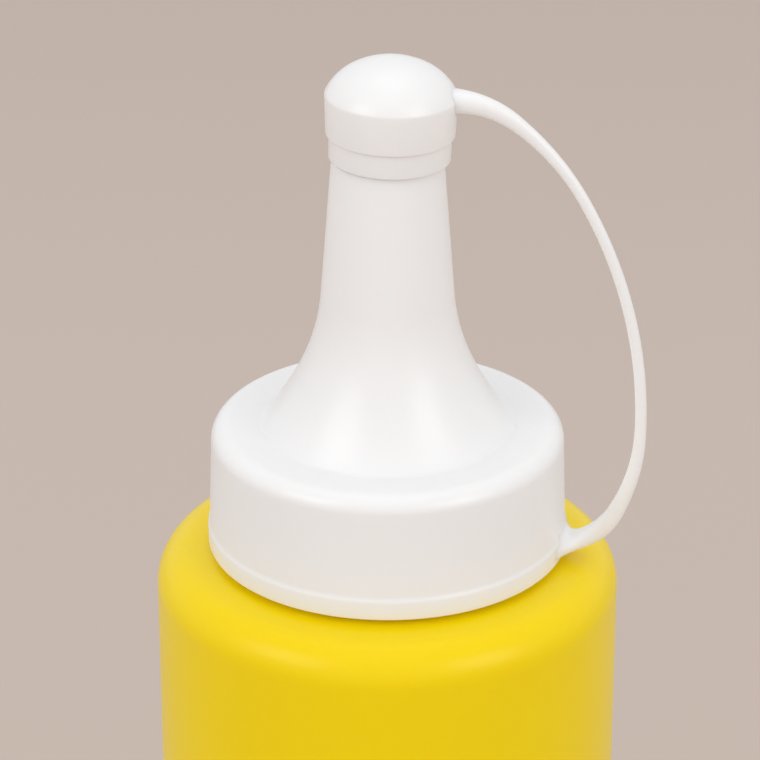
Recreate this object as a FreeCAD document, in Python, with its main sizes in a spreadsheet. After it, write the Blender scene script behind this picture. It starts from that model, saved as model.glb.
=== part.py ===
import FreeCAD, Part
import Sketcher

import math
import os

# A sauce squeeze bottle with a screw closure.
#
# The bottle is blow moulded: a straight round wall, a rounded shoulder, a rounded heel and a base
# that is pushed up a little so that it stands on a ring.  The closure is one moulding: a collar that
# covers the neck, a trumpet-shaped spout, a domed tip cap that closes the spout, and a thin strap
# that keeps the tip cap with the collar.  The bottle is shut and opaque, so both are solid inside.
#
# Frame: millimetres, +Z up, origin at the centre of the base.  The closure has its own frame, with
# Z = 0 at the collar's lower edge and +X towards the strap.

DIMENSIONS = [
    # bottle, heights above the base
    ("body_radius", 27.1, "outside of the straight wall"),
    ("heel_radius", 5.0, "rounding between the base and the wall"),
    ("base_ring_inner", 19.5, "inner edge of the ring that the bottle stands on"),
    ("push_up_radius", 17.0, "flat roof of the push-up in the base"),
    ("push_up_depth", 1.2, "height of that roof above the ring"),
    ("wall_top", 124.2, "where the straight wall ends and the shoulder bend begins"),
    ("shoulder_bend", 4.5, "radius of the shoulder bend"),
    ("shoulder_slope", 8.0, "degrees that the top of the shoulder rises towards the neck"),
    ("neck_root", 0.8, "fillet between the shoulder and the neck"),
    ("neck_radius", 18.8, "outside of the plain neck"),
    ("neck_top", 142.7, "top of the neck, which carries the closure"),
    # closure, placed on the bottle
    ("collar_base", 129.75, "height of the collar's lower edge above the base of the bottle"),
    ("closure_turn", -9.0, "degrees that the closure is screwed round, from +X"),
    # collar, heights above its lower edge
    ("socket_radius", 19.0, "plain hole in the collar that takes the neck"),
    ("foot_radius", 21.0, "lip round the collar's lower edge"),
    ("foot_height", 2.35, "height of that lip"),
    ("foot_step", 0.2, "how far the lip stands out from the side, and the height of its slope"),
    ("rim_radius", 20.48, "collar side where the rim rounding begins"),
    ("rim_start", 12.95, "height at which the rim rounding begins"),
    ("rim_round", 2.0, "rounding of the rim"),
    ("rim_inner", 18.1, "inner edge of the rim's crest"),
    ("flat_outer", 17.5, "outer edge of the flat round the spout"),
    ("flat_height", 14.75, "height of that flat, just below the crest"),
    # spout
    ("flare_fillet", 0.8, "fillet between the spout and the flat"),
    ("flare_low", 32.0, "radius of the lower, wider curve of the trumpet"),
    ("flare_high", 24.9, "radius of the upper curve of the trumpet"),
    ("flare_high_turn", 18.3, "degrees that the upper curve turns through"),
    ("cone_foot", 31.05, "height at which the straight cone begins"),
    ("cone_angle", 4.43, "half angle of the cone in degrees"),
    ("spout_tip_radius", 6.36, "radius of the cone at its end"),
    ("spout_top", 47.55, "height of the spout's end"),
    # tip cap
    ("cap_gap", 0.12, "gap between the spout's end and the tip cap"),
    ("cap_shift", 0.34, "how far the strap pulls the tip cap off the spout's axis"),
    ("cap_skirt_radius", 6.86, "lower ring of the tip cap"),
    ("cap_skirt_top", 50.45, "height of that ring's upper edge"),
    ("cap_band_foot", 7.21, "radius of the grip band at its lower edge"),
    ("cap_band_step", 0.12, "height of the slope under the grip band"),
    ("cap_band_radius", 7.43, "radius of the grip band at its upper edge"),
    ("cap_band_top", 55.2, "height of the corner between band and dome"),
    ("dome_top", 59.36, "top of the dome"),
    ("dome_crown", 10.45, "radius of the dome's crown"),
    ("dome_side", 6.5, "radius of the dome's side"),
    # strap, drawn in the closure's own X-Z plane
    ("strap_thick", 1.3, "thickness of the strap"),
    ("strap_width", 1.4, "width of the strap along its thin stretch"),
    ("strap_cap_width", 3.0, "width of the strap at the tip cap"),
    ("strap_root_fillet", 6.0, "fillet between the strap and the collar's lip, seen from above"),
    ("strap_cap_height", 55.2, "height of the strap's middle where it leaves the tip cap"),
    ("strap_start", 7.3, "distance from the spout's axis at which the strap begins to bend"),
    ("strap_buried", 2.3, "length of the strap's end inside the tip cap"),
    ("strap_root_height", 3.4, "height below which the root fillets widen the strap"),
    ("strap_taper_low", 48.75, "height at which the strap begins to widen towards the tip cap"),
    ("strap_taper_high", 54.25, "height at which it has its full width"),
]

# The strap's bends from the tip cap down to the collar, each tangent to the next: radius, degrees.
# Together they turn the strap from straight outwards to straight inwards.
STRAP_BENDS = [
    (12.0, 38.0),
    (30.0, 22.4),
    (54.5, 31.5),
    (22.0, 26.5),
    (8.6, 61.6),
]

# The sheet's names for the bends: an alias is a word.
WORDS = {1: "one", 2: "two", 3: "three", 4: "four", 5: "five"}

NORMAL = FreeCAD.Vector(0, 0, 1)


def fill_sheet(document):
    """Put every driving dimension into the spreadsheet, one row each, and return the sheet."""
    sheet = document.addObject("Spreadsheet::Sheet", "Sizes")
    rows = list(DIMENSIONS)
    for number, (radius, turn) in enumerate(STRAP_BENDS, start=1):
        rows.append((f"bend_radius_{WORDS[number]}", radius, "radius of this bend of the strap"))
        rows.append((f"bend_turn_{WORDS[number]}", turn, "degrees that it turns through"))
    for row, (alias, value, meaning) in enumerate(rows, start=1):
        sheet.set(f"A{row}", alias)
        sheet.set(f"B{row}", str(value))
        sheet.set(f"C{row}", meaning)
        sheet.setAlias(f"B{row}", alias)
    document.recompute()
    return sheet


def origin_plane(body, role):
    """The body's own origin plane with this role."""
    for feature in body.Origin.OriginFeatures:
        if feature.Role == role:
            return feature
    raise LookupError(role)


class Outline:
    """An outline in a sketch, drawn edge by edge and tied where the edges meet."""

    def __init__(self, body, name, plane, start):
        self.sketch = body.newObject("Sketcher::SketchObject", name)
        self.sketch.AttachmentSupport = [(origin_plane(body, plane), "")]
        self.sketch.MapMode = "FlatFace"
        self.point = FreeCAD.Vector(start[0], start[1], 0)
        self.edges = {}
        self.first = None
        self.last = None

    def _add(self, name, geometry, entry, leave, smooth):
        index = self.sketch.addGeometry(geometry, False)
        self.edges[name] = (index, entry, leave)
        if self.last is None:
            self.first = name
        else:
            before, _, before_leave = self.edges[self.last]
            kind = "Tangent" if smooth else "Coincident"
            self.sketch.addConstraint(Sketcher.Constraint(kind, before, before_leave, index, entry))
        self.last = name

    def line(self, name, x, y, smooth=False):
        """Draw a straight edge to a point."""
        end = FreeCAD.Vector(x, y, 0)
        self._add(name, Part.LineSegment(self.point, end), 1, 2, smooth)
        self.point = end

    def arc(self, name, centre, turn, smooth=True):
        """Draw an arc about a centre; a positive turn in degrees is anticlockwise."""
        middle = FreeCAD.Vector(centre[0], centre[1], 0)
        spoke = self.point - middle
        first = math.atan2(spoke.y, spoke.x)
        last = first + math.radians(turn)
        circle = Part.Circle(middle, NORMAL, spoke.Length)
        if turn > 0:
            self._add(name, Part.ArcOfCircle(circle, first, last), 1, 2, smooth)
        else:
            self._add(name, Part.ArcOfCircle(circle, last, first), 2, 1, smooth)
        reach = spoke.Length
        self.point = middle + FreeCAD.Vector(reach * math.cos(last), reach * math.sin(last), 0)

    def close(self):
        """Tie the last edge to the first."""
        index, _, leave = self.edges[self.last]
        first, entry, _ = self.edges[self.first]
        self.sketch.addConstraint(Sketcher.Constraint("Coincident", index, leave, first, entry))

    def begin(self, start):
        """Start another closed outline in the same sketch."""
        self.point = FreeCAD.Vector(start[0], start[1], 0)
        self.last = None

    def shift(self, expression, axis):
        """Drive how far the sketch stands off its plane (z) or along it (x)."""
        self.sketch.setExpression(f"AttachmentOffset.Base.{axis}", expression)

    def level(self, *names):
        """Keep edges horizontal."""
        for name in names:
            self.sketch.addConstraint(Sketcher.Constraint("Horizontal", self.edges[name][0]))

    def upright(self, *names):
        """Keep edges vertical."""
        for name in names:
            self.sketch.addConstraint(Sketcher.Constraint("Vertical", self.edges[name][0]))

    def on_axis(self, name, end):
        """Keep a point of an edge on the sketch's vertical axis."""
        self.sketch.addConstraint(
            Sketcher.Constraint("PointOnObject", self.edges[name][0], self._position(name, end), -2)
        )

    def on_base(self, name, end):
        """Keep a point of an edge on the sketch's horizontal axis."""
        self.sketch.addConstraint(
            Sketcher.Constraint("PointOnObject", self.edges[name][0], self._position(name, end), -1)
        )

    def _position(self, name, end):
        _, entry, leave = self.edges[name]
        return {"from": entry, "to": leave, "centre": 3}[end]

    def _drive(self, constraint, label, expression):
        index = self.sketch.addConstraint(constraint)
        self.sketch.renameConstraint(index, label)
        self.sketch.setExpression(f"Constraints.{label}", expression)

    def across(self, name, end, expression):
        """Drive the horizontal distance from the sketch's origin to an end of an edge."""
        index = self.edges[name][0]
        position = self._position(name, end)
        value = self.sketch.getPoint(index, position).x
        constraint = Sketcher.Constraint("DistanceX", -1, 1, index, position, value)
        self._drive(constraint, f"{name}_{end}_x", expression)

    def height(self, name, end, expression):
        """Drive the vertical distance from the sketch's origin to an end of an edge."""
        index = self.edges[name][0]
        position = self._position(name, end)
        value = self.sketch.getPoint(index, position).y
        constraint = Sketcher.Constraint("DistanceY", -1, 1, index, position, value)
        self._drive(constraint, f"{name}_{end}_y", expression)

    def radius(self, name, expression):
        """Drive the radius of an arc."""
        index = self.edges[name][0]
        value = self.sketch.Geometry[index].Radius
        self._drive(Sketcher.Constraint("Radius", index, value), f"{name}_radius", expression)

    def angle(self, name, value, expression):
        """Drive an arc's span, or a line's direction from the horizontal, in degrees."""
        constraint = Sketcher.Constraint("Angle", self.edges[name][0], math.radians(value))
        self._drive(constraint, f"{name}_angle", expression)


def revolve(body, name, outline):
    """Turn an outline a full turn about its sketch's vertical axis."""
    feature = body.newObject("PartDesign::Revolution", name)
    feature.Profile = outline.sketch
    feature.ReferenceAxis = (outline.sketch, ["V_Axis"])
    feature.Angle = 360
    outline.sketch.Visibility = False
    return feature


def bottle_outline(body, size):
    """Half section of the bottle: base ring, heel, wall, shoulder and neck."""
    slope = math.radians(size.shoulder_slope)
    bend_x = size.body_radius - size.shoulder_bend
    top_x = bend_x + size.shoulder_bend * math.sin(slope)
    top_z = size.wall_top + size.shoulder_bend * math.cos(slope)
    root_x = size.neck_radius + size.neck_root
    slope_end_x = root_x - size.neck_root * math.sin(slope)
    slope_end_z = top_z + (top_x - slope_end_x) * math.tan(slope)
    root_z = slope_end_z + size.neck_root * math.cos(slope)

    outline = Outline(body, "bottle_section", "XZ_Plane", (0, size.push_up_depth))
    outline.line("roof", size.push_up_radius, size.push_up_depth)
    outline.line("ramp", size.base_ring_inner, 0)
    outline.line("ring", size.body_radius - size.heel_radius, 0)
    outline.arc("heel", (size.body_radius - size.heel_radius, size.heel_radius), 90)
    outline.line("wall", size.body_radius, size.wall_top, smooth=True)
    outline.arc("bend", (bend_x, size.wall_top), 90 - size.shoulder_slope)
    outline.line("shoulder", slope_end_x, slope_end_z, smooth=True)
    outline.arc("root", (root_x, root_z), -(90 - size.shoulder_slope))
    outline.line("neck", size.neck_radius, size.neck_top, smooth=True)
    outline.line("mouth", 0, size.neck_top)
    outline.line("axis", 0, size.push_up_depth)
    outline.close()

    outline.level("roof", "ring", "mouth")
    outline.upright("wall", "neck")
    outline.on_axis("axis", "from")
    outline.on_axis("axis", "to")
    outline.height("roof", "from", "Sizes.push_up_depth")
    outline.across("roof", "to", "Sizes.push_up_radius")
    outline.across("ring", "from", "Sizes.base_ring_inner")
    outline.on_base("ring", "from")
    outline.radius("heel", "Sizes.heel_radius")
    outline.across("wall", "from", "Sizes.body_radius")
    outline.height("wall", "to", "Sizes.wall_top")
    outline.radius("bend", "Sizes.shoulder_bend")
    outline.angle(
        "shoulder", 180 - size.shoulder_slope, "180 deg - Sizes.shoulder_slope * 1 deg"
    )
    outline.radius("root", "Sizes.neck_root")
    outline.across("neck", "from", "Sizes.neck_radius")
    outline.height("neck", "to", "Sizes.neck_top")
    return outline


def collar_outline(body, size):
    """Half section of the collar and the spout above it, with the plain hole for the neck."""
    roof = size.neck_top - size.collar_base
    flat_z = size.flat_height

    # The trumpet runs from the cone's foot down through two curves and a fillet to the flat.
    # Its direction at any point is measured from the vertical.
    cone = math.radians(size.cone_angle)
    joint = math.radians(size.cone_angle + size.flare_high_turn)
    foot_x = size.spout_tip_radius + (size.spout_top - size.cone_foot) * math.tan(cone)
    high_x = foot_x + size.flare_high * math.cos(cone)
    high_z = size.cone_foot + size.flare_high * math.sin(cone)
    low_x = high_x + (size.flare_low - size.flare_high) * math.cos(joint)
    low_z = high_z + (size.flare_low - size.flare_high) * math.sin(joint)
    reach = size.flare_low - size.flare_fillet
    end = math.asin((low_z - size.flare_fillet - flat_z) / reach)
    fillet_x = low_x - reach * math.cos(end)
    fillet_z = flat_z + size.flare_fillet

    # The rim's rounding is tangent to the side, which leans in by its draft.
    step_x = size.foot_radius - size.foot_step
    step_z = size.foot_height + size.foot_step
    draft = math.atan2(step_x - size.rim_radius, size.rim_start - step_z)
    round_x = size.rim_radius - size.rim_round * math.cos(draft)
    round_z = size.rim_start - size.rim_round * math.sin(draft)

    outline = Outline(body, "collar_section", "XZ_Plane", (size.socket_radius, 0))
    outline.line("edge", size.foot_radius, 0)
    outline.line("lip", size.foot_radius, size.foot_height)
    outline.line("step", step_x, step_z)
    outline.line("side", size.rim_radius, size.rim_start)
    outline.arc("rim", (round_x, round_z), 90 - math.degrees(draft))
    outline.line("crest", size.rim_inner, round_z + size.rim_round, smooth=True)
    outline.line("sink", size.flat_outer, flat_z)
    outline.line("flat", fillet_x, flat_z)
    outline.arc("fillet", (fillet_x, fillet_z), -(90 - math.degrees(end)))
    outline.arc("trumpet_low", (low_x, low_z), math.degrees(joint - end))
    outline.arc("trumpet_high", (high_x, high_z), -size.flare_high_turn)
    outline.line("cone", size.spout_tip_radius, size.spout_top, smooth=True)
    outline.line("tip", 0, size.spout_top)
    outline.line("axis", 0, roof)
    outline.line("roof", size.socket_radius, roof)
    outline.line("socket", size.socket_radius, 0)
    outline.close()

    outline.level("edge", "crest", "flat", "tip", "roof")
    outline.upright("lip", "socket")
    outline.on_axis("axis", "from")
    outline.on_axis("axis", "to")
    outline.on_base("edge", "from")
    outline.across("edge", "from", "Sizes.socket_radius")
    outline.across("edge", "to", "Sizes.foot_radius")
    outline.height("lip", "to", "Sizes.foot_height")
    outline.across("step", "to", "Sizes.foot_radius - Sizes.foot_step")
    outline.height("step", "to", "Sizes.foot_height + Sizes.foot_step")
    outline.across("side", "to", "Sizes.rim_radius")
    outline.height("side", "to", "Sizes.rim_start")
    outline.radius("rim", "Sizes.rim_round")
    outline.across("crest", "to", "Sizes.rim_inner")
    outline.across("flat", "from", "Sizes.flat_outer")
    outline.height("flat", "from", "Sizes.flat_height")
    outline.radius("fillet", "Sizes.flare_fillet")
    outline.radius("trumpet_low", "Sizes.flare_low")
    outline.radius("trumpet_high", "Sizes.flare_high")
    outline.angle("trumpet_high", size.flare_high_turn, "Sizes.flare_high_turn * 1 deg")
    outline.angle("cone", 90 + size.cone_angle, "90 deg + Sizes.cone_angle * 1 deg")
    outline.height("cone", "from", "Sizes.cone_foot")
    outline.across("cone", "to", "Sizes.spout_tip_radius")
    outline.height("cone", "to", "Sizes.spout_top")
    outline.height("roof", "from", "Sizes.neck_top - Sizes.collar_base")
    return outline


def cap_outline(body, size):
    """Half section of the domed tip cap, about its own axis."""
    base_z = size.spout_top + size.cap_gap
    step_z = size.cap_skirt_top + size.cap_band_step

    # The dome's side passes through the corner above the grip band and is tangent to the crown,
    # so its centre lies as far from the crown's centre as the two radii differ.
    crown_z = size.dome_top - size.dome_crown
    corner_x = size.cap_band_radius
    corner_z = size.cap_band_top - crown_z
    corner_reach = math.hypot(corner_x, corner_z)
    apart = size.dome_crown - size.dome_side
    cosine = (corner_reach**2 + apart**2 - size.dome_side**2) / (2 * corner_reach * apart)
    lean = math.atan2(corner_x, corner_z) - math.acos(cosine)
    side_x = apart * math.sin(lean)
    side_z = crown_z + apart * math.cos(lean)
    corner_angle = math.atan2(size.cap_band_top - side_z, corner_x - side_x)

    outline = Outline(body, "cap_section", "XZ_Plane", (0, base_z))
    outline.line("base", size.cap_skirt_radius, base_z)
    outline.line("skirt", size.cap_skirt_radius, size.cap_skirt_top)
    outline.line("step", size.cap_band_foot, step_z)
    outline.line("band", size.cap_band_radius, size.cap_band_top)
    outline.arc("side", (side_x, side_z), 90 - math.degrees(lean + corner_angle), smooth=False)
    outline.arc("crown", (0, crown_z), math.degrees(lean))
    outline.line("axis", 0, base_z)
    outline.close()

    outline.level("base")
    outline.upright("skirt")
    outline.on_axis("axis", "from")
    outline.on_axis("axis", "to")
    outline.on_axis("crown", "centre")
    outline.height("base", "from", "Sizes.spout_top + Sizes.cap_gap")
    outline.across("base", "to", "Sizes.cap_skirt_radius")
    outline.height("skirt", "to", "Sizes.cap_skirt_top")
    outline.across("step", "to", "Sizes.cap_band_foot")
    outline.height("step", "to", "Sizes.cap_skirt_top + Sizes.cap_band_step")
    outline.across("band", "to", "Sizes.cap_band_radius")
    outline.height("band", "to", "Sizes.cap_band_top")
    outline.radius("side", "Sizes.dome_side")
    outline.radius("crown", "Sizes.dome_crown")
    outline.height("crown", "to", "Sizes.dome_top")
    outline.shift("Sizes.cap_shift", "x")
    return outline


def strap_path(body, size):
    """The strap's middle line: a short lead out of the tip cap, then the bends down to the collar."""
    height = size.strap_cap_height
    path = Outline(body, "strap_path", "XZ_Plane", (size.strap_start - size.strap_buried, height))
    path.line("lead", size.strap_start, height)
    heading = 0.0
    for number, (radius, turn) in enumerate(STRAP_BENDS, start=1):
        inward = math.radians(heading - 90)
        centre = (path.point.x + radius * math.cos(inward), path.point.y + radius * math.sin(inward))
        path.arc(f"bend_{WORDS[number]}", centre, -turn)
        heading -= turn

    path.level("lead")
    path.height("lead", "from", "Sizes.strap_cap_height")
    path.across("lead", "from", "Sizes.strap_start - Sizes.strap_buried")
    path.across("lead", "to", "Sizes.strap_start")
    for number, (radius, turn) in enumerate(STRAP_BENDS, start=1):
        word = WORDS[number]
        path.radius(f"bend_{word}", f"Sizes.bend_radius_{word}")
        path.angle(f"bend_{word}", turn, f"Sizes.bend_turn_{word} * 1 deg")
    return path


def strap_section(body, size):
    """The strap's section where it starts, as wide as its roots; the trims narrow the rest."""
    share = size.foot_radius / (size.foot_radius + size.strap_root_fillet)
    half = share * (size.strap_width / 2 + size.strap_root_fillet)
    half_expression = (
        "(Sizes.foot_radius / (Sizes.foot_radius + Sizes.strap_root_fillet)"
        " * (Sizes.strap_width / 2 + Sizes.strap_root_fillet))"
    )
    low = size.strap_cap_height - size.strap_thick / 2
    high = size.strap_cap_height + size.strap_thick / 2
    section = Outline(body, "strap_section", "YZ_Plane", (-half, low))
    section.line("under", half, low)
    section.line("right", half, high)
    section.line("over", -half, high)
    section.line("left", -half, low)
    section.close()
    section.level("under", "over")
    section.upright("right", "left")
    section.across("right", "from", half_expression)
    section.across("left", "from", f"-1 * {half_expression}")
    section.height("under", "from", "Sizes.strap_cap_height - Sizes.strap_thick / 2")
    section.height("over", "from", "Sizes.strap_cap_height + Sizes.strap_thick / 2")
    section.shift("Sizes.strap_start - Sizes.strap_buried", "z")
    return section


def waist_outline(body, size):
    """What is trimmed off both edges of the strap, seen along +X, to leave it thin below its root."""
    trim = None
    thin = size.strap_width / 2
    wide = size.strap_cap_width / 2
    outside = thin + size.strap_root_fillet + 1
    rise = size.strap_taper_high - size.strap_taper_low
    spread = wide - thin
    flare = (rise**2 + spread**2) / (2 * spread)
    turn = math.degrees(math.asin(rise / flare))
    for side, sign in (("right", 1), ("left", -1)):
        corner = (sign * thin, size.strap_root_height)
        if trim is None:
            trim = Outline(body, "waist_trim", "YZ_Plane", corner)
        else:
            trim.begin(corner)
        trim.line(f"{side}_thin", sign * thin, size.strap_taper_low)
        trim.arc(f"{side}_flare", (sign * (thin + flare), size.strap_taper_low), -sign * turn)
        trim.line(f"{side}_wide", sign * wide, size.dome_top)
        trim.line(f"{side}_top", sign * outside, size.dome_top)
        trim.line(f"{side}_out", sign * outside, size.strap_root_height)
        trim.line(f"{side}_foot", *corner)
        trim.close()

        trim.upright(f"{side}_thin", f"{side}_wide", f"{side}_out")
        trim.level(f"{side}_top", f"{side}_foot")
        trim.across(f"{side}_thin", "from", f"{sign} * Sizes.strap_width / 2")
        trim.height(f"{side}_thin", "from", "Sizes.strap_root_height")
        trim.height(f"{side}_thin", "to", "Sizes.strap_taper_low")
        trim.across(f"{side}_wide", "from", f"{sign} * Sizes.strap_cap_width / 2")
        trim.height(f"{side}_wide", "from", "Sizes.strap_taper_high")
        trim.height(f"{side}_wide", "to", "Sizes.dome_top")
        trim.across(
            f"{side}_out",
            "from",
            f"{sign} * (Sizes.strap_width / 2 + Sizes.strap_root_fillet + 1)",
        )
    return trim


def root_outline(body, size):
    """What is trimmed off both edges, seen from above, to leave fillets that run out into the lip."""
    trim = None
    thin = size.strap_width / 2
    fillet = size.strap_root_fillet
    centre_y = thin + fillet
    centre_x = math.sqrt((size.foot_radius + fillet) ** 2 - centre_y**2)
    start_x = centre_x * size.foot_radius / (size.foot_radius + fillet)
    start_y = centre_y * size.foot_radius / (size.foot_radius + fillet)
    turn = math.degrees(math.acos(centre_y / (size.foot_radius + fillet)))
    far = 2 * size.foot_radius
    outside = centre_y + 1
    for side, sign in (("right", 1), ("left", -1)):
        start = (start_x, sign * start_y)
        if trim is None:
            trim = Outline(body, "root_trim", "XY_Plane", start)
        else:
            trim.begin(start)
        trim.arc(f"{side}_fillet", (centre_x, sign * centre_y), sign * turn, smooth=False)
        trim.line(f"{side}_edge", far, sign * thin, smooth=True)
        trim.line(f"{side}_end", far, sign * outside)
        trim.line(f"{side}_out", start_x, sign * outside)
        trim.line(f"{side}_back", *start)
        trim.close()

        trim.level(f"{side}_edge", f"{side}_out")
        trim.upright(f"{side}_end", f"{side}_back")
        trim.radius(f"{side}_fillet", "Sizes.strap_root_fillet")
        trim.across(
            f"{side}_fillet",
            "centre",
            "sqrt((Sizes.foot_radius + Sizes.strap_root_fillet) ^ 2"
            " - (Sizes.strap_width / 2 + Sizes.strap_root_fillet) ^ 2)",
        )
        trim.height(
            f"{side}_fillet",
            "from",
            f"{sign} * (Sizes.strap_width / 2 + Sizes.strap_root_fillet)"
            " * Sizes.foot_radius / (Sizes.foot_radius + Sizes.strap_root_fillet)",
        )
        trim.height(f"{side}_edge", "from", f"{sign} * Sizes.strap_width / 2")
        trim.across(f"{side}_end", "from", "2 * Sizes.foot_radius")
        trim.height(
            f"{side}_end", "to", f"{sign} * (Sizes.strap_width / 2 + Sizes.strap_root_fillet + 1)"
        )
    return trim


def trim_strap(body, name, outline):
    """Cut an outline through the strap both ways."""
    before = body.Tip.Shape.Volume
    pocket = body.newObject("PartDesign::Pocket", name)
    pocket.Profile = outline.sketch
    pocket.Type = "ThroughAll"
    pocket.SideType = "Symmetric"
    outline.sketch.Visibility = False
    body.Document.recompute()
    if pocket.Shape.Volume >= before:
        raise RuntimeError(f"{name} cut nothing")


def make_bottle(document, size):
    """The bottle, one solid turned about its axis."""
    body = document.addObject("PartDesign::Body", "bottle")
    body.Label = "bottle"
    revolve(body, "bottle_turned", bottle_outline(body, size))
    return body


def make_closure(document, size):
    """Collar, spout, tip cap and strap, one moulding; the trims come while the strap is alone."""
    body = document.addObject("PartDesign::Body", "closure")
    body.Label = "closure"
    pipe = body.newObject("PartDesign::AdditivePipe", "strap")
    path = strap_path(body, size)
    section = strap_section(body, size)
    pipe.Profile = section.sketch
    pipe.Spine = path.sketch
    path.sketch.Visibility = False
    section.sketch.Visibility = False
    document.recompute()
    trim_strap(body, "waist", waist_outline(body, size))
    trim_strap(body, "root", root_outline(body, size))
    revolve(body, "collar_and_spout", collar_outline(body, size))
    document.recompute()
    revolve(body, "tip_cap", cap_outline(body, size))
    body.Placement = FreeCAD.Placement(
        FreeCAD.Vector(0, 0, size.collar_base), FreeCAD.Rotation(NORMAL, size.closure_turn)
    )
    body.setExpression("Placement.Base.z", "Sizes.collar_base")
    body.setExpression("Placement.Rotation.Angle", "Sizes.closure_turn * 1 deg")
    return body


def check(document, bodies):
    """Stop if any object failed or any sub-part is not one valid solid."""
    for item in document.Objects:
        if "Invalid" in item.State or "Error" in item.State:
            raise RuntimeError(f"{item.Name}: {item.State}")
    for body in bodies:
        shape = body.Shape
        if shape.isNull() or not shape.isValid() or len(shape.Solids) != 1:
            raise RuntimeError(f"{body.Label} is not one valid solid")


def main():
    """Build the document, check it and write one STEP file for each sub-part."""
    document = FreeCAD.newDocument("squeeze_bottle")
    size = fill_sheet(document)
    bodies = [make_bottle(document, size), make_closure(document, size)]
    document.recompute()
    check(document, bodies)
    os.makedirs("parts", exist_ok=True)
    for body in bodies:
        body.Shape.exportStep(f"parts/{body.Label}.step")
        box = body.Shape.BoundBox
        print(
            f"{body.Label}: volume {body.Shape.Volume:.1f} mm3, "
            f"x {box.XMin:.2f}..{box.XMax:.2f}, y {box.YMin:.2f}..{box.YMax:.2f}, "
            f"z {box.ZMin:.2f}..{box.ZMax:.2f}"
        )


main()
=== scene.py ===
"""A sauce squeeze bottle with a screw closure: fine pieces, plastics and studio.

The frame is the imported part: metres, +Z up, the middle of the base at the origin. Sizes below are
written in millimetres and turned to metres by MM. The closure's own heights start at its collar's
lower edge, and its own +X points towards the strap.
"""

import logging
import math
from dataclasses import dataclass, field
from enum import Enum

import bmesh
import bpy
from mathutils import Matrix, Vector


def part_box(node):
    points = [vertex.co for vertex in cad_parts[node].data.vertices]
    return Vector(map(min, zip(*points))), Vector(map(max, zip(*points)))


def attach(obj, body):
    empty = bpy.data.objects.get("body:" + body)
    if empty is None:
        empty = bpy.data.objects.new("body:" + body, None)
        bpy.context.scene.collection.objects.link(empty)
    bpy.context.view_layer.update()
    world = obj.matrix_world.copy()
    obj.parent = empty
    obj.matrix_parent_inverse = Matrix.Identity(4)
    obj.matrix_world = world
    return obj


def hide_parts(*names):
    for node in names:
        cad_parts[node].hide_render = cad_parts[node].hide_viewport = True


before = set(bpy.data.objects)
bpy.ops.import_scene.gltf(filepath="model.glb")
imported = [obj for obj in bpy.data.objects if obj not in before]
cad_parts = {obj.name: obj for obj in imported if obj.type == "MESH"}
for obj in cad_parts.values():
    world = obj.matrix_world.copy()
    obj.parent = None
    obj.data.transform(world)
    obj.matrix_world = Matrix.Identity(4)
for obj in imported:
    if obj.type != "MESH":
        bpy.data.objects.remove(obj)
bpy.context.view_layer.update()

MM = 0.001
SEAM = 0.002 * MM  # points that lie nearer to each other become one
CORNER_FACETS = 5  # facets across a rounded corner of a turned section
ORIGIN = Vector((0.0, 0.0, 0.0))
UP = Vector((0.0, 0.0, 1.0))
FORWARD = Vector((0.0, 1.0, 0.0))
log = logging.getLogger("squeeze_bottle")

# The Mix node's sockets for colours, which share their names with its sockets for numbers.
MIX_SHARE = 0
MIX_FIRST = 6
MIX_SECOND = 7
MIX_RESULT = 2


class Slot(Enum):
    """The material slots of the part's record."""

    YELLOW = "yellow_plastic"
    WHITE = "white_plastic"


class Rounding(Enum):
    """What a bevel rounds."""

    CORNERS = "VERTICES"
    EDGES = "EDGES"


# ---------------------------------------------------------------- finishes


def linear(code: str) -> tuple[float, float, float, float]:
    """Turn an sRGB hex colour to linear.

    Args:
        code: six hex digits, with or without a leading #.

    Returns:
        Red, green, blue and an alpha of 1, for a colour socket.
    """
    digits = code.lstrip("#")
    values = []
    # The sRGB curve is straight near black and a power above that.
    for start in (0, 2, 4):
        share = int(digits[start : start + 2], 16) / 255
        if share <= 0.04045:
            values.append(share / 12.92)
        else:
            values.append(((share + 0.055) / 1.055) ** 2.4)
    return (*values, 1.0)


def add_node(
    tree: bpy.types.NodeTree,
    kind: str,
    settings: dict[str, object] | None = None,
    inputs: dict[str | int, object] | None = None,
) -> bpy.types.Node:
    """Add one node with its settings and links.

    Args:
        tree: node tree that gets the node.
        kind: Blender's name for the kind of node.
        settings: properties of the node.
        inputs: for each input socket a value, or the output socket that feeds it.

    Returns:
        The new node.
    """
    node = tree.nodes.new(kind)
    for name, value in (settings or {}).items():
        setattr(node, name, value)
    for name, value in (inputs or {}).items():
        if isinstance(value, bpy.types.NodeSocket):
            tree.links.new(value, node.inputs[name])
        else:
            node.inputs[name].default_value = value
    return node


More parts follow.
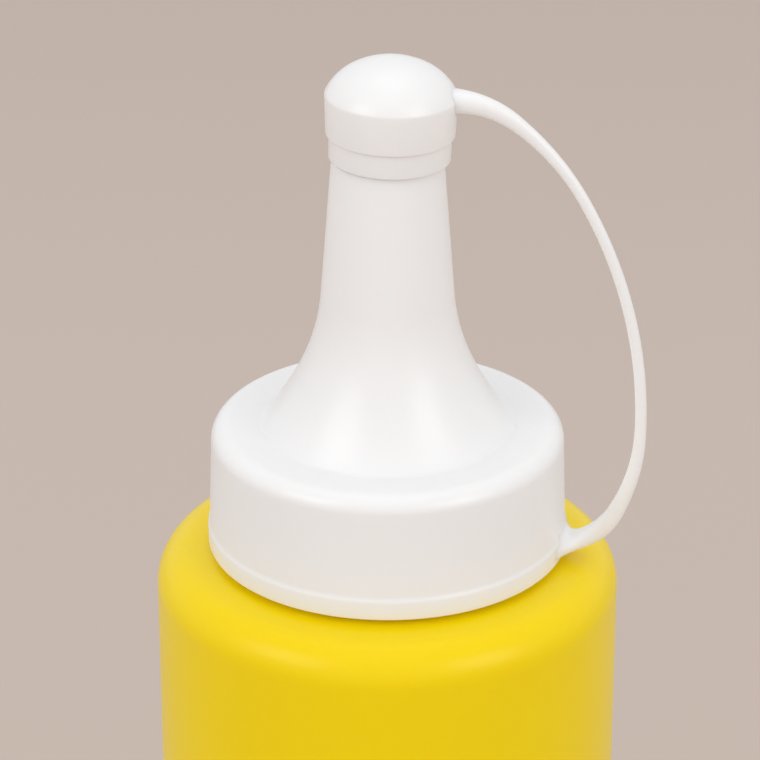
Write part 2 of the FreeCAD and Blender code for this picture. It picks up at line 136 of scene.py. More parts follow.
@dataclass(frozen=True)
class MouldedPlastic:
    """A moulded polyethylene: satin skin, faint grain, slow ripples and a little light inside it.

    Lengths are real millimetres on the surface. The slow patches and ripples are drawn out along
    each axis by one over its stretch.
    """

    name: str
    colour: str
    shade: str
    patch_mm: float
    roughness: float
    roughness_spread: float
    ior: float
    specular_level: float
    reflection: str
    grain_mm: float
    grain_depth_mm: float
    ripple_mm: float
    ripple_depth_mm: float
    glow: float
    glow_mm: tuple[float, float, float]
    stretch: tuple[float, float, float] = (1.0, 1.0, 1.0)

    def build(self) -> bpy.types.Material:
        """Make the material.

        Returns:
            A material whose patterns stay fixed to the piece.
        """
        material = bpy.data.materials.new(self.name)
        material.use_nodes = True
        tree = material.node_tree
        tree.nodes.clear()
        place = add_node(tree, "ShaderNodeTexCoord").outputs["Object"]
        drawn = add_node(
            tree, "ShaderNodeMapping", inputs={"Vector": place, "Scale": self.stretch}
        ).outputs["Vector"]
        patches = add_node(
            tree,
            "ShaderNodeTexNoise",
            inputs={"Vector": drawn, "Scale": 1 / (self.patch_mm * MM), "Detail": 3.0},
        ).outputs["Fac"]
        colour = add_node(
            tree,
            "ShaderNodeMix",
            {"data_type": "RGBA"},
            {
                MIX_SHARE: patches,
                MIX_FIRST: linear(self.shade),
                MIX_SECOND: linear(self.colour),
            },
        ).outputs[MIX_RESULT]
        grain = add_node(
            tree,
            "ShaderNodeTexNoise",
            inputs={"Vector": place, "Scale": 1 / (self.grain_mm * MM), "Detail": 2.0},
        ).outputs["Fac"]
        ripple = add_node(
            tree,
            "ShaderNodeTexNoise",
            inputs={"Vector": drawn, "Scale": 1 / (self.ripple_mm * MM), "Detail": 1.0},
        ).outputs["Fac"]
        satin = add_node(
            tree,
            "ShaderNodeMapRange",
            inputs={
                "Value": patches,
                "To Min": self.roughness - self.roughness_spread,
                "To Max": self.roughness + self.roughness_spread,
            },
        ).outputs["Result"]
        rippled = add_node(
            tree,
            "ShaderNodeBump",
            inputs={"Height": ripple, "Distance": self.ripple_depth_mm * MM, "Strength": 1.0},
        ).outputs["Normal"]
        skin = add_node(
            tree,
            "ShaderNodeBump",
            inputs={
                "Height": grain,
                "Distance": self.grain_depth_mm * MM,
                "Strength": 1.0,
                "Normal": rippled,
            },
        ).outputs["Normal"]
        shader = add_node(
            tree,
            "ShaderNodeBsdfPrincipled",
            inputs={
                "Base Color": colour,
                "Roughness": satin,
                "IOR": self.ior,
                "Specular IOR Level": self.specular_level,
                "Specular Tint": linear(self.reflection),
                "Subsurface Weight": self.glow,
                "Subsurface Radius": self.glow_mm,
                "Subsurface Scale": MM,
                "Normal": skin,
            },
        )
        add_node(
            tree, "ShaderNodeOutputMaterial", inputs={"Surface": shader.outputs["BSDF"]}
        )
        return material


# Blow-moulded, pigmented low-density polyethylene: a strong warm yellow with a waxy satin skin
# whose reflections take on some of the pigment, a very fine orange peel, and slow ripples where
# the wall was stretched.
YELLOW_POLYETHYLENE = MouldedPlastic(
    name="polyethylene_blow_moulded_yellow",
    colour="fbdb00",
    shade="f9d700",
    patch_mm=16.0,
    roughness=0.295,
    roughness_spread=0.015,
    ior=1.51,
    specular_level=0.3,
    reflection="fffbe0",
    grain_mm=0.7,
    grain_depth_mm=0.004,
    ripple_mm=11.0,
    ripple_depth_mm=0.06,
    glow=0.3,
    glow_mm=(2.4, 1.5, 0.2),
    stretch=(1.0, 1.0, 0.55),
)

# Injection-moulded natural polyethylene with a white pigment: milky, slightly see-through at thin
# edges, with a smooth satin skin.
WHITE_POLYETHYLENE = MouldedPlastic(
    name="polyethylene_injection_moulded_white",
    colour="f6f5f4",
    shade="f4f3f2",
    patch_mm=9.0,
    roughness=0.3,
    roughness_spread=0.02,
    ior=1.53,
    specular_level=0.5,
    reflection="ffffff",
    grain_mm=0.5,
    grain_depth_mm=0.002,
    ripple_mm=7.0,
    ripple_depth_mm=0.025,
    glow=0.35,
    glow_mm=(1.8, 1.6, 1.4),
)


# ---------------------------------------------------------------- meshes


def bevel(
    mesh: bmesh.types.BMesh,
    parts: list[bmesh.types.BMVert] | list[bmesh.types.BMEdge],
    reach: float,
    segments: int,
    affect: Rounding,
) -> None:
    """Round corners or edges.

    Args:
        mesh: mesh to change.
        parts: corners, or edges, to round.
        reach: how far the rounding reaches from the corner, in metres.
        segments: facets across the rounding.
        affect: whether the parts are corners of an outline or edges.
    """
    bmesh.ops.bevel(
        mesh,
        geom=parts,
        offset=reach,
        offset_type="OFFSET",
        affect=affect.value,
        segments=segments,
        profile=0.5,
        material=-1,
        clamp_overlap=True,
    )


def finished(mesh: bmesh.types.BMesh, name: str) -> bpy.types.Object:
    """Close the seams of a mesh, face it outwards and make it an object.

    Args:
        mesh: finished mesh, which is freed.
        name: name of the piece.

    Returns:
        A smooth-shaded object at the origin, with its place in its mesh.
    """
    bmesh.ops.remove_doubles(mesh, verts=mesh.verts, dist=SEAM)
    bmesh.ops.recalc_face_normals(mesh, faces=mesh.faces)
    for face in mesh.faces:
        face.smooth = True
    data = bpy.data.meshes.new(name)
    mesh.to_mesh(data)
    mesh.free()
    piece = bpy.data.objects.new(name, data)
    bpy.context.scene.collection.objects.link(piece)
    return piece


def dress(
    piece: bpy.types.Object, material: bpy.types.Material, node: str
) -> None:
    """Give a piece its finish, its body and the solid that it stands for.

    Args:
        piece: the finished piece.
        material: its finish.
        node: the solid that the piece replaces.
    """
    piece.data.materials.append(material)
    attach(piece, "root")
    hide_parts(node)
    triangles = sum(len(face.vertices) - 2 for face in piece.data.polygons)
    log.info("%s: %d triangles, stands for %s", piece.name, triangles, node)


class Section:
    """A half section in the X-Z plane, drawn edge by edge and then turned on a lathe.

    Points are given in millimetres.
    """

    def __init__(self, x: float, z: float) -> None:
        """Start at a point.

        Args:
            x: distance from the axis.
            z: height.
        """
        self.mesh = bmesh.new()
        self.pen = self.mesh.verts.new((x * MM, 0.0, z * MM))
        self.corners: list[tuple[bmesh.types.BMVert, float]] = []

    def line(self, x: float, z: float, corner: float = 0.0) -> None:
        """Draw a straight edge.

        Args:
            x: distance of its end from the axis.
            z: height of its end.
            corner: how far a rounding at that end reaches, or 0 for none.
        """
        made = bmesh.ops.extrude_vert_indiv(self.mesh, verts=[self.pen])
        self.pen = made["verts"][0]
        self.pen.co = Vector((x, 0.0, z)) * MM
        if corner:
            self.corners.append((self.pen, corner))

    def arc(self, x: float, z: float, turn: float, facet: float = 2.5) -> None:
        """Draw an arc.

        Args:
            x: distance of its centre from the axis.
            z: height of its centre.
            turn: degrees, anticlockwise with +X to the right.
            facet: degrees that each facet turns through, at most.
        """
        made = bmesh.ops.spin(
            self.mesh,
            geom=[self.pen],
            cent=Vector((x, 0.0, z)) * MM,
            axis=-FORWARD,
            angle=math.radians(turn),
            steps=max(2, math.ceil(abs(turn) / facet)),
            use_merge=False,
        )
        self.pen = next(v for v in made["geom_last"] if isinstance(v, bmesh.types.BMVert))

    def turned(self, steps: int) -> bmesh.types.BMesh:
        """Round the corners and turn the section about the Z axis.

        Args:
            steps: facets round the turn.

        Returns:
            The closed mesh.
        """
        for vert, reach in self.corners:
            bevel(self.mesh, [vert], reach * MM, CORNER_FACETS, Rounding.CORNERS)
        bmesh.ops.spin(
            self.mesh,
            geom=self.mesh.verts[:] + self.mesh.edges[:],
            cent=ORIGIN,
            axis=UP,
            angle=math.tau,
            steps=steps,
            use_merge=True,
        )
        bmesh.ops.remove_doubles(self.mesh, verts=self.mesh.verts, dist=SEAM)
        return self.mesh


# ---------------------------------------------------------------- bottle


@dataclass
class Bottle:
    """The blow-moulded bottle: push-up base, heel, straight wall, shoulder and neck, in mm.

    Slope and facet are in degrees.
    """

    body_radius: float = 27.1
    heel_radius: float = 5.0
    ring_inner: float = 19.5
    push_up_radius: float = 17.0
    push_up_depth: float = 1.2
    push_up_corner: float = 0.8
    ring_corner: float = 0.4
    wall_top: float = 124.2
    bend: float = 4.5
    slope: float = 8.0
    neck_root: float = 0.8
    neck_radius: float = 18.8
    neck_top: float = 142.7
    neck_facet: float = 8.0
    line_width: float = 0.3
    line_height: float = 0.03
    line_foot: float = 0.5
    line_crest: float = 0.015
    line_cut: float = 0.001
    pinch_length: float = 22.0
    pinch_width: float = 0.9
    pinch_height: float = 0.35
    pinch_corner: float = 0.2
    pinch_facets: int = 3
    steps: int = 224

    def _section(self) -> Section:
        """Draw the half section, from the middle of the base to the middle of the mouth.

        Returns:
            The section, ready to be turned.
        """
        lean = math.radians(self.slope)
        bend_x = self.body_radius - self.bend
        top_x = bend_x + self.bend * math.sin(lean)
        top_z = self.wall_top + self.bend * math.cos(lean)
        root_x = self.neck_radius + self.neck_root
        end_x = root_x - self.neck_root * math.sin(lean)
        end_z = top_z + (top_x - end_x) * math.tan(lean)
        root_z = end_z + self.neck_root * math.cos(lean)

        section = Section(0.0, self.push_up_depth)
        section.line(self.push_up_radius, self.push_up_depth, corner=self.push_up_corner)
        section.line(self.ring_inner, 0.0, corner=self.ring_corner)
        section.line(self.body_radius - self.heel_radius, 0.0)
        section.arc(self.body_radius - self.heel_radius, self.heel_radius, 90.0)
        section.line(self.body_radius, self.wall_top)
        section.arc(bend_x, self.wall_top, 90.0 - self.slope)
        section.line(end_x, end_z)
        section.arc(root_x, root_z, -(90.0 - self.slope), facet=self.neck_facet)
        section.line(self.neck_radius, self.neck_top)
        section.line(0.0, self.neck_top)
        return section

    def _parting_line(self, mesh: bmesh.types.BMesh) -> None:
        """Raise the fine line that the halves of the mould leave down both sides.

        Args:
            mesh: the turned bottle.
        """
        half = self.line_width / 2 * MM
        for side in (-1.0, 1.0):
            bmesh.ops.bisect_plane(
                mesh,
                geom=mesh.verts[:] + mesh.edges[:] + mesh.faces[:],
                plane_co=(0.0, side * half, 0.0),
                plane_no=FORWARD,
                dist=self.line_cut * MM,
            )
        mesh.normal_update()
        for vert in mesh.verts:
            crest = abs(vert.co.y) < self.line_crest * MM
            outside = abs(vert.co.x) > self.ring_inner * MM and vert.co.z > self.line_foot * MM
            if crest and outside:
                vert.co += vert.normal * (self.line_height * MM)

    def _pinch(self, mesh: bmesh.types.BMesh) -> None:
        """Add the pinch-off seam across the middle of the base, as the mould closed on the tube.

        Args:
            mesh: the turned bottle.
        """
        # The upper half of the bar stays inside the base.
        made = bmesh.ops.create_cube(mesh, size=MM)
        verts = made["verts"]
        bmesh.ops.scale(
            mesh,
            vec=(self.pinch_length, self.pinch_width, self.pinch_height * 2),
            verts=verts,
        )
        bmesh.ops.translate(mesh, vec=UP * self.push_up_depth * MM, verts=verts)
        edges = [edge for edge in mesh.edges if all(vert in verts for vert in edge.verts)]
        bevel(mesh, edges, self.pinch_corner * MM, self.pinch_facets, Rounding.EDGES)

    def build(self) -> bpy.types.Object:
        """Model the bottle.

        Returns:
            The piece.
        """
        mesh = self._section().turned(self.steps)
        self._parting_line(mesh)
        bmesh.ops.remove_doubles(mesh, verts=mesh.verts, dist=SEAM)
        self._pinch(mesh)
        return finished(mesh, "bottle_body")

    def dress(self, piece: bpy.types.Object) -> None:
        """Give the bottle its yellow plastic."""
        dress(piece, YELLOW_POLYETHYLENE.build(), "bottle")


# ---------------------------------------------------------------- closure


@dataclass
class CollarAndSpout:
    """The collar over the neck and the trumpet-shaped spout above it, in mm and degrees."""

    socket_radius: float = 19.0
    socket_roof: float = 12.95
    foot_radius: float = 21.0
    foot_height: float = 2.3
    foot_step: float = 0.2
    step_rise: float = 0.4
    roof_corner: float = 0.3
    lip_corner: float = 0.2
    step_corner: float = 0.24
    edge: float = 0.25
    rim_radius: float = 20.48
    rim_start: float = 12.95
    rim_round: float = 2.0
    rim_inner: float = 18.1
    flat_outer: float = 17.2
    flat_height: float = 14.82
    fillet: float = 0.8
    flare_low: float = 32.0
    flare_high: float = 24.9
    flare_turn: float = 18.3
    cone_foot: float = 31.05
    cone_angle: float = 4.43
    tip_radius: float = 6.36
    tip_corner: float = 0.15
    top: float = 47.55
    fillet_facet: float = 5.0
    flare_facet: float = 1.0
    steps: int = 224

    def build(self) -> bmesh.types.BMesh:
        """Model the collar and spout about the Z axis, from the collar's lower edge.

        Returns:
            The closed mesh.
        """
        cone = math.radians(self.cone_angle)
        joint = math.radians(self.cone_angle + self.flare_turn)
        foot_x = self.tip_radius + (self.top - self.cone_foot) * math.tan(cone)
        high_x = foot_x + self.flare_high * math.cos(cone)
        high_z = self.cone_foot + self.flare_high * math.sin(cone)
        low_x = high_x + (self.flare_low - self.flare_high) * math.cos(joint)
        low_z = high_z + (self.flare_low - self.flare_high) * math.sin(joint)
        reach = self.flare_low - self.fillet
        end = math.asin((low_z - self.fillet - self.flat_height) / reach)
        fillet_x = low_x - reach * math.cos(end)
        fillet_z = self.flat_height + self.fillet

        step_x = self.foot_radius - self.foot_step
        step_z = self.foot_height + self.step_rise
        draft = math.atan2(step_x - self.rim_radius, self.rim_start - step_z)
        round_x = self.rim_radius - self.rim_round * math.cos(draft)
        round_z = self.rim_start - self.rim_round * math.sin(draft)

        section = Section(0.0, self.socket_roof)
        section.line(self.socket_radius, self.socket_roof, corner=self.roof_corner)
        section.line(self.socket_radius, 0.0, corner=self.edge)
        section.line(self.foot_radius, 0.0, corner=self.edge)
        section.line(self.foot_radius, self.foot_height, corner=self.lip_corner)
        section.line(step_x, step_z, corner=self.step_corner)
        section.line(self.rim_radius, self.rim_start)
        section.arc(round_x, round_z, 90.0 - math.degrees(draft))
        section.line(self.rim_inner, round_z + self.rim_round, corner=self.edge)
        section.line(self.flat_outer, self.flat_height, corner=self.edge)
        section.line(fillet_x, self.flat_height)
        section.arc(
            fillet_x, fillet_z, -(90.0 - math.degrees(end)), facet=self.fillet_facet
        )
        section.arc(low_x, low_z, math.degrees(joint - end), facet=self.flare_facet)
        section.arc(high_x, high_z, -self.flare_turn, facet=self.flare_facet)
        section.line(self.tip_radius, self.top, corner=self.tip_corner)
        section.line(0.0, self.top)
        return section.turned(self.steps)


@dataclass
class TipCap:
    """The domed cap over the spout's tip: skirt, grip band and dome, in mm; tilt in degrees."""

    base: float = 47.67
    shift: float = 0.36
    tilt: float = 1.5
    tilt_height: float = 53.5
    skirt_radius: float = 6.9
    skirt_top: float = 50.45
    band_foot: float = 7.28
    band_step: float = 0.12
    band_radius: float = 7.5
    band_top: float = 55.2
    dome_top: float = 59.36
    crown: float = 9.8
    side: float = 6.5
    base_corner: float = 0.2
    step_corner: float = 0.12
    band_corner: float = 0.15
    steps: int = 192

    def build(self) -> bmesh.types.BMesh:
        """Model the cap, which the strap pulls aside and tilts a little.

        Returns:
            The closed mesh.
        """
        crown_z = self.dome_top - self.crown
        corner_z = self.band_top - crown_z
        corner_reach = math.hypot(self.band_radius, corner_z)
        apart = self.crown - self.side
        cosine = (corner_reach**2 + apart**2 - self.side**2) / (2 * corner_reach * apart)
        lean = math.atan2(self.band_radius, corner_z) - math.acos(cosine)
        side_x = apart * math.sin(lean)
        side_z = crown_z + apart * math.cos(lean)
        corner_angle = math.atan2(self.band_top - side_z, self.band_radius - side_x)

        section = Section(0.0, self.base)
        section.line(self.skirt_radius, self.base, corner=self.base_corner)
        section.line(self.skirt_radius, self.skirt_top, corner=self.step_corner)
        section.line(
            self.band_foot, self.skirt_top + self.band_step, corner=self.step_corner
        )
        section.line(self.band_radius, self.band_top, corner=self.band_corner)
        section.arc(side_x, side_z, 90.0 - math.degrees(lean + corner_angle))
        section.arc(0.0, crown_z, math.degrees(lean))
        mesh = section.turned(self.steps)
        bmesh.ops.rotate(
            mesh,
            cent=UP * self.tilt_height * MM,
            matrix=Matrix.Rotation(math.radians(self.tilt), 3, "Y"),
            verts=mesh.verts,
        )
        bmesh.ops.translate(mesh, vec=Vector((self.shift, 0.0, 0.0)) * MM, verts=mesh.verts)
        return mesh


@dataclass(frozen=True)
class Bend:
    """One bend of the strap: radius in mm and degrees, clockwise from the tip cap down."""

    radius: float
    turn: float

    @property
    def length(self) -> float:
        """Length along the bend, in mm."""
        return self.radius * math.radians(self.turn)


@dataclass(frozen=True)
class Move:
    """One stretch of the sweep: its bend's radius, or 0 where straight, and its length, in mm."""

    radius: float
    run: float
    steps: int


@dataclass(frozen=True)
class Girth:
    """The strap's size at a share of its length from the tip cap, in mm.

    The outer side of its arch stands off its path by outer, and the inner side by inner.
    """

    share: float
    outer: float
    inner: float
    width: float

    @property
    def thickness(self) -> float:
        """Thickness from one side to the other."""
        return self.outer + self.inner

    @property
    def offset(self) -> float:
        """How far the middle of the section lies outside the path."""
        return (self.outer - self.inner) / 2


@dataclass
class Strap:
    """The thin strap from the tip cap down to the collar's lip, swept along its bends, in mm.

    It starts buried in the cap. Its root spreads over the lip in a front and a back fillet, and
    runs up the collar's wall in a top fillet above the root's middle. A girth's place and the
    blend are shares of its length.
    """

    start_x: float = 7.15
    start_z: float = 55.2
    buried: float = 2.3
    buried_steps: int = 12
    corner: float = 1.5
    corner_facets: int = 8
    step: float = 0.3
    root_step: float = 0.08
    root_depth: float = 2.5
    root_middle: float = 0.9
    foot_radius: float = 21.0
    wall_radius: float = 20.78
    front_fillet: float = 6.0
    back_fillet: float = 3.5
    top_fillet: float = 1.5
    bends: tuple[Bend, ...] = (
        Bend(12.0, 38.0),
        Bend(30.0, 22.4),
        Bend(54.5, 31.5),
        Bend(22.0, 26.5),
        Bend(8.6, 61.6),
    )
    girths: tuple[Girth, ...] = (
        Girth(0.0, 1.12, 2.1, 3.8),
        Girth(0.035, 0.94, 1.75, 3.0),
        Girth(0.08, 0.86, 1.4, 2.3),
        Girth(0.17, 0.66, 0.9, 1.4),
        Girth(0.26, 0.6, 0.64, 1.25),
        Girth(0.4, 0.64, 0.57, 1.2),
        Girth(0.72, 0.74, 0.58, 1.4),
        Girth(0.84, 1.0, 0.72, 1.6),
        Girth(0.93, 1.62, 0.8, 1.7),
        Girth(1.0, 0.66, 0.7, 1.8),
    )
    blend: float = 0.025
    blend_parts: tuple[float, ...] = (-1.0, -0.5, 0.0, 0.5, 1.0)

    def _between(self, share: float) -> tuple[float, float, float]:
        """Find the size on the straight line between the named girths.

        Args:
            share: share of the length from the tip cap.

        Returns:
            Outer and inner stand-off, and width.
        """
        share = min(max(share, 0.0), 1.0)
        before, after = next(
            pair for pair in zip(self.girths, self.girths[1:]) if share <= pair[1].share
        )
        part = (share - before.share) / (after.share - before.share)
        return (
            before.outer + (after.outer - before.outer) * part,
            before.inner + (after.inner - before.inner) * part,
            before.width + (after.width - before.width) * part,
        )

    def _girth(self, share: float) -> Girth:
        """Find the strap's size along its length, without a kink at the named girths.

        Args:
            share: share of the length from the tip cap.

        Returns:
            The size there, as the mean over a short stretch of the strap.
        """
        near = [self._between(share + part * self.blend) for part in self.blend_parts]
        outer, inner, width = (sum(values) / len(near) for values in zip(*near))
        return Girth(share, outer, inner, width)

    def _first_ring(self, mesh: bmesh.types.BMesh) -> list[bmesh.types.BMEdge]:
        """Draw the rounded section across the strap where it starts inside the tip cap.

        Args:
            mesh: mesh that gets the ring.

        Returns:
            The ring's edges.
        """
        first = self._girth(0.0)
        # A circle of four corners, turned by half a side, is a square with level edges.
        made = bmesh.ops.create_circle(mesh, segments=4, radius=1.0, cap_ends=False)
        for degrees, axis in ((45, "Z"), (90, "Y")):
            turn = Matrix.Rotation(math.radians(degrees), 3, axis)
            bmesh.ops.rotate(mesh, cent=ORIGIN, matrix=turn, verts=made["verts"])
        half = math.sqrt(0.5)
        bmesh.ops.scale(
            mesh,
            vec=(1.0, first.width / 2 / half * MM, first.thickness / 2 / half * MM),
            verts=made["verts"],
        )
        bevel(mesh, made["verts"], self.corner * MM, self.corner_facets, Rounding.CORNERS)
        ring_start = Vector((self.start_x - self.buried, 0.0, self.start_z + first.offset)) * MM
        bmesh.ops.translate(mesh, vec=ring_start, verts=mesh.verts)
        return mesh.edges[:]

    def _moves(self) -> list[Move]:
        """List the stretches of the sweep, with the finest steps at the root.

        Returns:
            The straight stretch inside the cap, then the bends.
        """
        moves = [Move(0.0, self.buried, self.buried_steps)]
        for bend in self.bends:
            step = self.root_step if bend is self.bends[-1] else self.step
            moves.append(Move(bend.radius, bend.length, math.ceil(bend.length / step)))
        return moves

    def build(self) -> bmesh.types.BMesh:
        """Sweep the strap, then spread its root over the collar's lip.

        Returns:
            The closed mesh.
        """
        mesh = bmesh.new()
        ring = self._first_ring(mesh)
        first_ring = list(ring)
        length = self.buried + sum(bend.length for bend in self.bends)
        done = 0.0
        girth = self._girth(0.0)
        place = Vector((self.start_x - self.buried, 0.0, self.start_z)) * MM
        heading = 0.0
        for move in self._moves():
            centre = place - outward(heading) * move.radius * MM
            for _ in range(move.steps):
                made = bmesh.ops.extrude_edge_only(mesh, edges=ring)
                verts = [g for g in made["geom"] if isinstance(g, bmesh.types.BMVert)]
                ring = [g for g in made["geom"] if isinstance(g, bmesh.types.BMEdge)]
                if move.radius:
                    turn = move.run / move.radius / move.steps
                    spin = Matrix.Rotation(turn, 3, "Y")
                    bmesh.ops.rotate(mesh, cent=centre, matrix=spin, verts=verts)
                    place = centre + spin @ (place - centre)
                    heading += turn
                else:
                    ahead = Vector((move.run / move.steps * MM, 0.0, 0.0))
                    bmesh.ops.translate(mesh, vec=ahead, verts=verts)
                    place = place + ahead
                done += move.run / move.steps
                fresh = self._girth(done / length)
                resize(mesh, verts, place, outward(heading), girth, fresh)
                girth = fresh
        for end in (first_ring, ring):
            bmesh.ops.edgeloop_fill(mesh, edges=end)
        self._spread_root(mesh)
        return mesh

    def _spread_root(self, mesh: bmesh.types.BMesh) -> None:
        """Widen the strap's end in fillets that run out into the collar's lip.

        Args:
            mesh: the swept strap.
        """
        half = self.girths[-1].width / 2
        for vert in mesh.verts:
            x, y, z = vert.co / MM
            fillet = self.front_fillet if y < 0 else self.back_fillet
            centre_x = math.sqrt((self.foot_radius + fillet) ** 2 - (half + fillet) ** 2)
            touch_x = centre_x * self.foot_radius / (self.foot_radius + fillet)
            if x < touch_x - self.root_depth or x > centre_x or z > self.bends[-1].radius:
                continue
            side = spread(max(x, touch_x) - (centre_x - fillet), fillet)
            y *= (half + side) / half
            if z > self.root_middle:
                z += spread(math.hypot(x, y) - self.wall_radius, self.top_fillet)
            vert.co = Vector((x, y, z)) * MM


def outward(heading: float) -> Vector:
    """Point from the strap's path to the outer side of its arch, at a heading in radians."""
    return Vector((math.sin(heading), 0.0, math.cos(heading)))


def resize(
    mesh: bmesh.types.BMesh,
    verts: list[bmesh.types.BMVert],
    place: Vector,
    across: Vector,
    before: Girth,
    after: Girth,
) -> None:
    """Bring one ring of the strap to its own size.

    Args:
        mesh: mesh that holds the ring.
        verts: the ring's points.
        place: the point of the path that the ring belongs to.
        across: direction from the path to the outer side of the arch.
        before: size that the ring still has.
        after: size that it gets.
    """
    middle = place + across * (before.offset * MM)
    shape = Matrix.Scale(after.thickness / before.thickness, 4, across)
    shape = shape @ Matrix.Scale(after.width / before.width, 4, FORWARD)
    bmesh.ops.transform(mesh, matrix=shape, space=Matrix.Translation(-middle), verts=verts)
    shift = across * ((after.offset - before.offset) * MM)
    bmesh.ops.translate(mesh, vec=shift, verts=verts)


def spread(gap: float, radius: float) -> float:
    """Work out how far a fillet stands off the thing that it widens.

    Args:
        gap: distance from the wall that the fillet runs out into.
        radius: radius of the fillet.

    Returns:
        The distance, which is the radius at the wall and 0 from a radius away.
    """
    left = max(0.0, min(radius, radius - gap))
    return radius - math.sqrt(radius**2 - left**2)


@dataclass
class Closure:
    """The white moulding of collar, spout, tip cap and strap, screwed round by turn degrees."""

    turn: float = -9.0
    collar: CollarAndSpout = field(default_factory=CollarAndSpout)
    cap: TipCap = field(default_factory=TipCap)
    strap: Strap = field(default_factory=Strap)

    def build(self) -> list[bpy.types.Object]:
        """Model the closure where its solid stands.

        Returns:
            Its pieces.
        """
        low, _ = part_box("closure")
        pieces = []
        for name, part in (
            ("collar_and_spout", self.collar),
            ("tip_cap", self.cap),
            ("strap", self.strap),
        ):
            mesh = part.build()
            turn = Matrix.Rotation(math.radians(self.turn), 3, "Z")
            bmesh.ops.rotate(mesh, cent=ORIGIN, matrix=turn, verts=mesh.verts)
            bmesh.ops.translate(mesh, vec=UP * low.z, verts=mesh.verts)
            pieces.append(finished(mesh, name))
        return pieces

    def dress(self, pieces: list[bpy.types.Object]) -> None:
        """Give the closure's pieces their white plastic.

        Args:
            pieces: the collar and spout, the tip cap and the strap.
        """
        white = WHITE_POLYETHYLENE.build()
        for piece in pieces:
            dress(piece, white, "closure")


# ---------------------------------------------------------------- studio


@dataclass(frozen=True)
class Softbox:
    """A soft lamp that points at a spot on the bottle, in metres, degrees and watts."""

    name: str
    azimuth: float
    elevation: float
    distance: float
    width: float
    height: float
    power: float
    colour: str = "ffffff"

    def build(self, target: Vector) -> None:
        """Hang the lamp.

        Args:
            target: the spot that it points at.
        """
        lamp = bpy.data.lights.new(self.name, "AREA")
        lamp.shape = "RECTANGLE"
        lamp.size = self.width
        lamp.size_y = self.height
        lamp.energy = self.power
        lamp.color = linear(self.colour)[:3]
        turn = math.radians(self.azimuth)
        rise = math.radians(self.elevation)
        away = Vector(
            (math.sin(turn) * math.cos(rise), -math.cos(turn) * math.cos(rise), math.sin(rise))
        )
        holder = bpy.data.objects.new(self.name, lamp)
        holder.location = target + away * self.distance
        holder.rotation_euler = (-away).to_track_quat("-Z", "Y").to_euler()
        bpy.context.scene.collection.objects.link(holder)
        log.info("lamp %s: %.1f W", self.name, self.power)


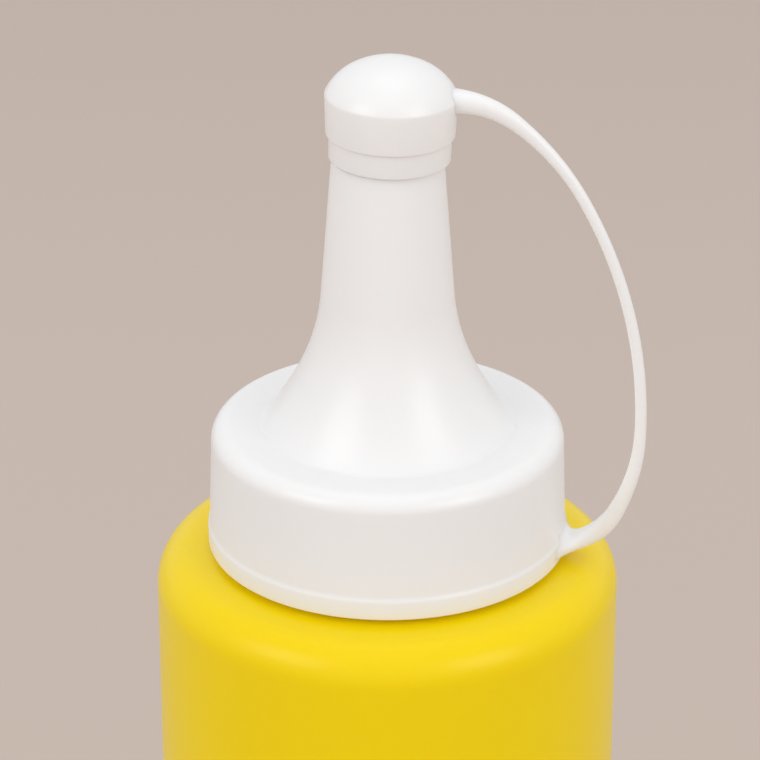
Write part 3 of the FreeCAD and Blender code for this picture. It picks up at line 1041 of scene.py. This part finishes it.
@dataclass
class Studio:
    """A plain pale table that runs far back, soft lamps and the camera, in metres.

    The floor goes over to its far colour, painted darker as painted shade for the light that falls
    off far away, between near_y and far_y behind the bottle.
    Lens and sensor are in millimetres, and tilt in degrees.
    """

    floor_near: str = "c9baaf"
    # Painted shade: the far floor is painted darker where the lamps' light falls off.
    floor_far_painted_shade: str = "c4b5aa"
    near_y: float = 0.3
    far_y: float = 0.6
    floor_roughness: float = 0.9
    floor_specular: float = 0.1
    floor_size: float = 6.0
    room_colour: str = "f9fafc"
    room_level: float = 0.8
    lens: float = 171.1
    sensor: float = 36.0
    tilt: float = 64.81
    camera_x: float = -0.00087
    camera_y: float = -0.3768
    camera_z: float = 0.32705
    clip_start: float = 0.01
    lamp_aim: float = 0.14
    lamps: tuple[Softbox, ...] = (
        Softbox("left_softbox", -54.0, 32.0, 2.2, 1.3, 1.1, 9.2),
        Softbox("right_softbox", 49.0, 27.0, 2.2, 1.15, 1.1, 8.7),
        Softbox("front_softbox", -3.0, 64.0, 2.2, 1.4, 1.0, 1.2),
        Softbox("top_softbox", 180.0, 76.0, 2.2, 1.2, 1.0, 3.0),
    )

    def floor(self) -> None:
        """Lay the table's smooth paper, painted a little darker far away as painted shade for the
        fading light.
        """
        mesh = bmesh.new()
        bmesh.ops.create_grid(mesh, x_segments=1, y_segments=1, size=self.floor_size / 2)
        data = bpy.data.meshes.new("studio_floor")
        mesh.to_mesh(data)
        mesh.free()
        piece = bpy.data.objects.new("studio_floor", data)
        bpy.context.scene.collection.objects.link(piece)

        material = bpy.data.materials.new("matt_paper_beige")
        material.use_nodes = True
        tree = material.node_tree
        tree.nodes.clear()
        place = add_node(tree, "ShaderNodeTexCoord").outputs["Object"]
        back = add_node(tree, "ShaderNodeSeparateXYZ", inputs={"Vector": place}).outputs["Y"]
        # Painted shade: the colour darkens towards the far colour between near_y and far_y,
        # standing in for light that fades far behind the bottle.
        share = add_node(
            tree,
            "ShaderNodeMapRange",
            inputs={"Value": back, "From Min": self.near_y, "From Max": self.far_y},
        ).outputs["Result"]
        colour = add_node(
            tree,
            "ShaderNodeMix",
            {"data_type": "RGBA"},
            {
                MIX_SHARE: share,
                MIX_FIRST: linear(self.floor_near),
                MIX_SECOND: linear(self.floor_far_painted_shade),
            },
        ).outputs[MIX_RESULT]
        shader = add_node(
            tree,
            "ShaderNodeBsdfPrincipled",
            inputs={
                "Base Color": colour,
                "Roughness": self.floor_roughness,
                "Specular IOR Level": self.floor_specular,
            },
        )
        add_node(
            tree, "ShaderNodeOutputMaterial", inputs={"Surface": shader.outputs["BSDF"]}
        )
        data.materials.append(material)

    def light(self) -> None:
        """Light the room evenly and hang the lamps round the shoulder of the bottle."""
        world = bpy.data.worlds.new("studio_room")
        world.use_nodes = True
        bpy.context.scene.world = world
        background = world.node_tree.nodes["Background"]
        background.inputs["Color"].default_value = linear(self.room_colour)
        background.inputs["Strength"].default_value = self.room_level
        for lamp in self.lamps:
            lamp.build(UP * self.lamp_aim)

    def camera(self) -> None:
        """Place the camera above and in front of the bottle."""
        data = bpy.data.cameras.new("studio_camera")
        data.lens = self.lens
        data.sensor_width = self.sensor
        data.clip_start = self.clip_start
        holder = bpy.data.objects.new("studio_camera", data)
        holder.location = (self.camera_x, self.camera_y, self.camera_z)
        holder.rotation_euler = (math.radians(self.tilt), 0.0, 0.0)
        bpy.context.scene.collection.objects.link(holder)
        bpy.context.scene.camera = holder
        bpy.context.scene.view_settings.view_transform = "Standard"

    def build(self) -> None:
        """Set up the whole studio."""
        self.floor()
        self.light()
        self.camera()


def main() -> None:
    """Build and dress the bottle, then its closure, and set up the studio."""
    logging.basicConfig(level=logging.INFO, format="%(message)s")
    bottle = Bottle()
    bottle.dress(bottle.build())
    closure = Closure()
    closure.dress(closure.build())
    Studio().build()


if __name__ == "__main__":
    main()
